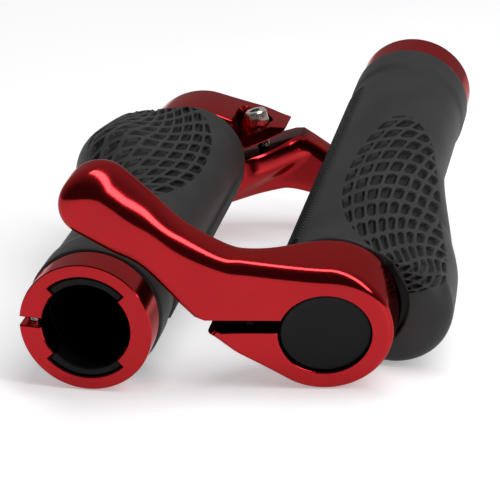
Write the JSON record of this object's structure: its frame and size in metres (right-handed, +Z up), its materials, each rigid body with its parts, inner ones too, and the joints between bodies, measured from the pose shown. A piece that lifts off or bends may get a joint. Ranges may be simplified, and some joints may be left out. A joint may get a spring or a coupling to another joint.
{
  "type": "bar end grips",
  "caption": "Pair of lock-on handlebar grips with palm wings, clamp rings and curved aluminium bar ends, one laid across the other.",
  "frame": {"origin": "on the floor, under the middle of the pair's bounding box", "axes": "+Z up from the floor; +Y along the right-hand grip from its lock ring to its bar end; +X from the right-hand grip to the left-hand grip"},
  "size_m": [0.116, 0.1628, 0.0617],
  "materials": {
    "rubber": "matte",
    "core_plastic": "satin",
    "red_aluminium": "red anodised, satin",
    "screw_steel": "bright"
  },
  "bodies": {
    "grips": {"left_grip_sleeve": "rubber", "left_core": "core_plastic", "left_lock_ring": "red_aluminium", "right_grip_sleeve": "rubber", "right_core": "core_plastic", "right_lock_ring": "red_aluminium"},
    "left_horn": {"left_bar_end": "red_aluminium", "left_end_plug": "core_plastic"},
    "left_horn_bolt": {"left_bar_end_bolt": "screw_steel"},
    "left_ring_screw": {"left_lock_ring_screw": "screw_steel"},
    "right_horn": {"right_bar_end": "red_aluminium", "right_end_plug": "core_plastic"},
    "right_horn_bolt": {"right_bar_end_bolt": "screw_steel"},
    "right_ring_screw": {"right_lock_ring_screw": "screw_steel"}
  },
  "joints": [
    {"name": "left_bar_end_turn", "type": "hinge", "parent": "grips", "child": "left_horn", "pos_m": [0.02859, -0.06341, 0.01565], "axis": [0.0568, 0.9753, 0.2134], "range_deg": [0, 90]},
    {"name": "right_bar_end_turn", "type": "hinge", "parent": "grips", "child": "right_horn", "pos_m": [-0.02916, 0.06668, 0.02776], "axis": [-0.0006, -0.997, -0.0773], "range_deg": [-90, 0]},
    {"name": "left_bolt_turn", "type": "hinge", "parent": "left_horn", "child": "left_horn_bolt", "pos_m": [0.00882, -0.05661, 0.01482], "axis": [0.0394, -0.2158, 0.9756], "continuous": true},
    {"name": "right_bolt_turn", "type": "hinge", "parent": "right_horn", "child": "right_horn_bolt", "pos_m": [-0.01053, 0.06074, 0.0352], "axis": [0.2464, 0.0748, -0.9663], "continuous": true},
    {"name": "left_ring_screw_turn", "type": "hinge", "parent": "grips", "child": "left_ring_screw", "pos_m": [0.04834, 0.06962, 0.03686], "axis": [0.3293, -0.2201, 0.9182], "continuous": true},
    {"name": "right_ring_screw_turn", "type": "hinge", "parent": "grips", "child": "right_ring_screw", "pos_m": [-0.04301, -0.06861, 0.02124], "axis": [-0.0477, 0.0772, -0.9959], "continuous": true}
  ]
}
